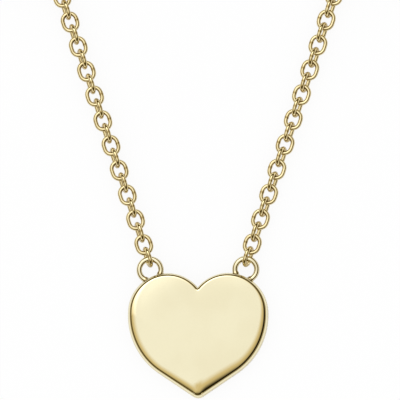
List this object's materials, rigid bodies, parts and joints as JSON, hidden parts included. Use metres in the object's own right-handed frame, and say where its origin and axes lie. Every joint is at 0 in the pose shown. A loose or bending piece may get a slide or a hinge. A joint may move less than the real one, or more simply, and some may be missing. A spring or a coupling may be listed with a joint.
{
  "type": "pendant necklace",
  "caption": "Heart plate pendant between two soldered rings on a fine cable chain, laid open with its ends coiled; spring ring clasp and catch ring.",
  "frame": {"origin": "middle of the heart's flat back", "axes": "+X to the right and +Y towards the neck, seen from the front of the heart; +Z out of the heart's face, up from the table it lies on"},
  "size_m": [0.043, 0.0512, 0.0028],
  "materials": {
    "heart_gold": "mirror polished pale yellow gold plating",
    "ring_gold": "polished yellow gold plating",
    "chain_gold": "polished yellow gold plating on drawn wire",
    "clasp_gold": "polished yellow gold plating",
    "spring_steel": "bright spring wire"
  },
  "bodies": {
    "root": {"heart": "heart_gold", "left_ring": "ring_gold", "right_ring": "ring_gold"},
    "left_link_01": {"left_link_01": "chain_gold"},
    "left_link_02": {"left_link_02": "chain_gold"},
    "left_link_03": {"left_link_03": "chain_gold"},
    "left_link_04": {"left_link_04": "chain_gold"},
    "left_link_05": {"left_link_05": "chain_gold"},
    "left_link_06": {"left_link_06": "chain_gold"},
    "left_link_07": {"left_link_07": "chain_gold"},
    "left_link_08": {"left_link_08": "chain_gold"},
    "left_link_09": {"left_link_09": "chain_gold"},
    "left_link_10": {"left_link_10": "chain_gold"},
    "left_link_11": {"left_link_11": "chain_gold"},
    "left_link_12": {"left_link_12": "chain_gold"},
    "left_link_13": {"left_link_13": "chain_gold"},
    "left_link_14": {"left_link_14": "chain_gold"},
    "left_link_15": {"left_link_15": "chain_gold"},
    "left_link_16": {"left_link_16": "chain_gold"},
    "left_link_17": {"left_link_17": "chain_gold"},
    "left_link_18": {"left_link_18": "chain_gold"},
    "left_link_19": {"left_link_19": "chain_gold"},
    "left_link_20": {"left_link_20": "chain_gold"},
    "left_link_21": {"left_link_21": "chain_gold"},
    "left_link_22": {"left_link_22": "chain_gold"},
    "left_coil": {"left_lead_links": "chain_gold", "left_coil": "chain_gold", "left_end_link": "chain_gold"},
    "right_link_01": {"right_link_01": "chain_gold"},
    "right_link_02": {"right_link_02": "chain_gold"},
    "right_link_03": {"right_link_03": "chain_gold"},
    "right_link_04": {"right_link_04": "chain_gold"},
    "right_link_05": {"right_link_05": "chain_gold"},
    "right_link_06": {"right_link_06": "chain_gold"},
    "right_link_07": {"right_link_07": "chain_gold"},
    "right_link_08": {"right_link_08": "chain_gold"},
    "right_link_09": {"right_link_09": "chain_gold"},
    "right_link_10": {"right_link_10": "chain_gold"},
    "right_link_11": {"right_link_11": "chain_gold"},
    "right_link_12": {"right_link_12": "chain_gold"},
    "right_link_13": {"right_link_13": "chain_gold"},
    "right_link_14": {"right_link_14": "chain_gold"},
    "right_link_15": {"right_link_15": "chain_gold"},
    "right_link_16": {"right_link_16": "chain_gold"},
    "right_link_17": {"right_link_17": "chain_gold"},
    "right_link_18": {"right_link_18": "chain_gold"},
    "right_link_19": {"right_link_19": "chain_gold"},
    "right_link_20": {"right_link_20": "chain_gold"},
    "right_link_21": {"right_link_21": "chain_gold"},
    "right_link_22": {"right_link_22": "chain_gold"},
    "right_coil": {"right_lead_links": "chain_gold", "right_coil": "chain_gold", "right_end_link": "chain_gold"},
    "jump_ring": {"jump_ring": "ring_gold"},
    "clasp": {"clasp_tube": "clasp_gold", "clasp_eye": "clasp_gold", "clasp_spring": "spring_steel"},
    "clasp_bolt": {"clasp_bolt": "clasp_gold"},
    "catch_ring": {"catch_ring": "ring_gold"}
  },
  "joints": [
    {"name": "clasp_open", "type": "hinge", "parent": "clasp", "child": "clasp_bolt", "pos_m": [-0.01246, 0.03748, 0.0007], "axis": [0, 0, -1], "range_deg": [0, 42], "stiffness_Nm_per_rad": 0.0005, "springref_deg": -17.19, "deforming": ["clasp_spring"]},
    {"name": "clasp_swing", "type": "hinge", "parent": "jump_ring", "child": "clasp", "pos_m": [-0.01643, 0.03748, 0.0007], "axis": [0, 0, 1], "range_deg": [-15, 30]},
    {"name": "jump_ring_lift", "type": "hinge", "parent": "left_coil", "child": "jump_ring", "pos_m": [-0.01803, 0.03748, 0.0007], "axis": [0, -1, 0], "range_deg": [0, 75]},
    {"name": "catch_ring_lift", "type": "hinge", "parent": "right_coil", "child": "catch_ring", "pos_m": [0.0181, 0.03748, 0.0007], "axis": [0, 1, 0], "range_deg": [0, 75]},
    {"name": "left_coil_lift", "type": "hinge", "parent": "left_link_22", "child": "left_coil", "pos_m": [-0.01095, 0.02737, 0.0007], "axis": [-0.9494, -0.314, 0], "range_deg": [-45, 45]},
    {"name": "right_coil_lift", "type": "hinge", "parent": "right_link_22", "child": "right_coil", "pos_m": [0.01095, 0.02737, 0.0007], "axis": [-0.9494, 0.314, 0], "range_deg": [-45, 45]},
    {"name": "left_link_02_swing", "type": "hinge", "parent": "left_link_01", "child": "left_link_02", "pos_m": [-0.00415, 0.00683, 0.0007], "axis": [0, 0, 1], "range_deg": [-10, 45]},
    {"name": "right_link_02_swing", "type": "hinge", "parent": "right_link_01", "child": "right_link_02", "pos_m": [0.00415, 0.00683, 0.0007], "axis": [0, 0, -1], "range_deg": [-10, 45]},
    {"name": "left_link_01_lift", "type": "hinge", "parent": "root", "child": "left_link_01", "pos_m": [-0.00388, 0.00601, 0.0007], "axis": [0.9494, 0.314, 0], "range_deg": [-45, 45]},
    {"name": "right_link_01_lift", "type": "hinge", "parent": "root", "child": "right_link_01", "pos_m": [0.00388, 0.00601, 0.0007], "axis": [0.9494, -0.314, 0], "range_deg": [-45, 45]},
    {"name": "left_link_22_swing", "type": "hinge", "parent": "left_link_21", "child": "left_link_22", "pos_m": [-0.01062, 0.02639, 0.0007], "axis": [0, 0, 1], "range_deg": [-25, 45]},
    {"name": "right_link_22_swing", "type": "hinge", "parent": "right_link_21", "child": "right_link_22", "pos_m": [0.01062, 0.02639, 0.0007], "axis": [0, 0, -1], "range_deg": [-25, 45]},
    {"name": "left_link_12_swing", "type": "hinge", "parent": "left_link_11", "child": "left_link_12", "pos_m": [-0.00739, 0.01661, 0.0007], "axis": [0, 0, -1], "range_deg": [-45, 14]},
    {"name": "right_link_12_swing", "type": "hinge", "parent": "right_link_11", "child": "right_link_12", "pos_m": [0.00739, 0.01661, 0.0007], "axis": [0, 0, 1], "range_deg": [-45, 14]},
    {"name": "left_link_11_lift", "type": "hinge", "parent": "left_link_10", "child": "left_link_11", "pos_m": [-0.00706, 0.01564, 0.0007], "axis": [-0.9494, -0.314, 0], "range_deg": [-45, 45]},
    {"name": "right_link_11_lift", "type": "hinge", "parent": "right_link_10", "child": "right_link_11", "pos_m": [0.00706, 0.01564, 0.0007], "axis": [-0.9494, 0.314, 0], "range_deg": [-45, 45]},
    {"name": "left_link_03_lift", "type": "hinge", "parent": "left_link_02", "child": "left_link_03", "pos_m": [-0.00448, 0.00781, 0.0007], "axis": [-0.9494, -0.314, 0], "range_deg": [-45, 45]},
    {"name": "right_link_03_lift", "type": "hinge", "parent": "right_link_02", "child": "right_link_03", "pos_m": [0.00448, 0.00781, 0.0007], "axis": [-0.9494, 0.314, 0], "range_deg": [-45, 45]},
    {"name": "left_link_04_swing", "type": "hinge", "parent": "left_link_03", "child": "left_link_04", "pos_m": [-0.0048, 0.00879, 0.0007], "axis": [0, 0, -1], "range_deg": [-45, 10]},
    {"name": "right_link_04_swing", "type": "hinge", "parent": "right_link_03", "child": "right_link_04", "pos_m": [0.0048, 0.00879, 0.0007], "axis": [0, 0, 1], "range_deg": [-45, 10]},
    {"name": "left_link_05_lift", "type": "hinge", "parent": "left_link_04", "child": "left_link_05", "pos_m": [-0.00512, 0.00977, 0.0007], "axis": [0.9494, 0.314, 0], "range_deg": [-45, 45]},
    {"name": "right_link_05_lift", "type": "hinge", "parent": "right_link_04", "child": "right_link_05", "pos_m": [0.00512, 0.00977, 0.0007], "axis": [0.9494, -0.314, 0], "range_deg": [-45, 45]},
    {"name": "left_link_06_swing", "type": "hinge", "parent": "left_link_05", "child": "left_link_06", "pos_m": [-0.00545, 0.01075, 0.0007], "axis": [0, 0, 1], "range_deg": [-10, 45]},
    {"name": "right_link_06_swing", "type": "hinge", "parent": "right_link_05", "child": "right_link_06", "pos_m": [0.00545, 0.01075, 0.0007], "axis": [0, 0, -1], "range_deg": [-10, 45]},
    {"name": "left_link_07_lift", "type": "hinge", "parent": "left_link_06", "child": "left_link_07", "pos_m": [-0.00577, 0.01172, 0.0007], "axis": [-0.9494, -0.314, 0], "range_deg": [-45, 45]},
    {"name": "right_link_07_lift", "type": "hinge", "parent": "right_link_06", "child": "right_link_07", "pos_m": [0.00577, 0.01172, 0.0007], "axis": [-0.9494, 0.314, 0], "range_deg": [-45, 45]},
    {"name": "left_link_08_swing", "type": "hinge", "parent": "left_link_07", "child": "left_link_08", "pos_m": [-0.00609, 0.0127, 0.0007], "axis": [0, 0, -1], "range_deg": [-45, 9]},
    {"name": "right_link_08_swing", "type": "hinge", "parent": "right_link_07", "child": "right_link_08", "pos_m": [0.00609, 0.0127, 0.0007], "axis": [0, 0, 1], "range_deg": [-45, 9]},
    {"name": "left_link_09_lift", "type": "hinge", "parent": "left_link_08", "child": "left_link_09", "pos_m": [-0.00642, 0.01368, 0.0007], "axis": [0.9494, 0.314, 0], "range_deg": [-45, 45]},
    {"name": "right_link_09_lift", "type": "hinge", "parent": "right_link_08", "child": "right_link_09", "pos_m": [0.00642, 0.01368, 0.0007], "axis": [0.9494, -0.314, 0], "range_deg": [-45, 45]},
    {"name": "left_link_10_swing", "type": "hinge", "parent": "left_link_09", "child": "left_link_10", "pos_m": [-0.00674, 0.01466, 0.0007], "axis": [0, 0, 1], "range_deg": [-12, 45]},
    {"name": "right_link_10_swing", "type": "hinge", "parent": "right_link_09", "child": "right_link_10", "pos_m": [0.00674, 0.01466, 0.0007], "axis": [0, 0, -1], "range_deg": [-12, 45]},
    {"name": "left_link_13_lift", "type": "hinge", "parent": "left_link_12", "child": "left_link_13", "pos_m": [-0.00771, 0.01759, 0.0007], "axis": [0.9494, 0.314, 0], "range_deg": [-45, 45]},
    {"name": "right_link_13_lift", "type": "hinge", "parent": "right_link_12", "child": "right_link_13", "pos_m": [0.00771, 0.01759, 0.0007], "axis": [0.9494, -0.314, 0], "range_deg": [-45, 45]},
    {"name": "left_link_14_swing", "type": "hinge", "parent": "left_link_13", "child": "left_link_14", "pos_m": [-0.00803, 0.01857, 0.0007], "axis": [0, 0, 1], "range_deg": [-15, 45]},
    {"name": "right_link_14_swing", "type": "hinge", "parent": "right_link_13", "child": "right_link_14", "pos_m": [0.00803, 0.01857, 0.0007], "axis": [0, 0, -1], "range_deg": [-15, 45]},
    {"name": "left_link_15_lift", "type": "hinge", "parent": "left_link_14", "child": "left_link_15", "pos_m": [-0.00836, 0.01955, 0.0007], "axis": [-0.9494, -0.314, 0], "range_deg": [-45, 45]},
    {"name": "right_link_15_lift", "type": "hinge", "parent": "right_link_14", "child": "right_link_15", "pos_m": [0.00836, 0.01955, 0.0007], "axis": [-0.9494, 0.314, 0], "range_deg": [-45, 45]},
    {"name": "left_link_16_swing", "type": "hinge", "parent": "left_link_15", "child": "left_link_16", "pos_m": [-0.00868, 0.02053, 0.0007], "axis": [0, 0, -1], "range_deg": [-45, 18]},
    {"name": "right_link_16_swing", "type": "hinge", "parent": "right_link_15", "child": "right_link_16", "pos_m": [0.00868, 0.02053, 0.0007], "axis": [0, 0, 1], "range_deg": [-45, 18]},
    {"name": "left_link_17_lift", "type": "hinge", "parent": "left_link_16", "child": "left_link_17", "pos_m": [-0.00901, 0.0215, 0.0007], "axis": [0.9494, 0.314, 0], "range_deg": [-45, 45]},
    {"name": "right_link_17_lift", "type": "hinge", "parent": "right_link_16", "child": "right_link_17", "pos_m": [0.00901, 0.0215, 0.0007], "axis": [0.9494, -0.314, 0], "range_deg": [-45, 45]},
    {"name": "left_link_18_swing", "type": "hinge", "parent": "left_link_17", "child": "left_link_18", "pos_m": [-0.00933, 0.02248, 0.0007], "axis": [0, 0, 1], "range_deg": [-20, 45]},
    {"name": "right_link_18_swing", "type": "hinge", "parent": "right_link_17", "child": "right_link_18", "pos_m": [0.00933, 0.02248, 0.0007], "axis": [0, 0, -1], "range_deg": [-20, 45]},
    {"name": "left_link_19_lift", "type": "hinge", "parent": "left_link_18", "child": "left_link_19", "pos_m": [-0.00965, 0.02346, 0.0007], "axis": [-0.9494, -0.314, 0], "range_deg": [-45, 45]},
    {"name": "right_link_19_lift", "type": "hinge", "parent": "right_link_18", "child": "right_link_19", "pos_m": [0.00965, 0.02346, 0.0007], "axis": [-0.9494, 0.314, 0], "range_deg": [-45, 45]},
    {"name": "left_link_20_swing", "type": "hinge", "parent": "left_link_19", "child": "left_link_20", "pos_m": [-0.00998, 0.02444, 0.0007], "axis": [0, 0, -1], "range_deg": [-45, 20]},
    {"name": "right_link_20_swing", "type": "hinge", "parent": "right_link_19", "child": "right_link_20", "pos_m": [0.00998, 0.02444, 0.0007], "axis": [0, 0, 1], "range_deg": [-45, 20]},
    {"name": "left_link_21_lift", "type": "hinge", "parent": "left_link_20", "child": "left_link_21", "pos_m": [-0.0103, 0.02541, 0.0007], "axis": [0.9494, 0.314, 0], "range_deg": [-45, 45]},
    {"name": "right_link_21_lift", "type": "hinge", "parent": "right_link_20", "child": "right_link_21", "pos_m": [0.0103, 0.02541, 0.0007], "axis": [0.9494, -0.314, 0], "range_deg": [-45, 45]}
  ]
}
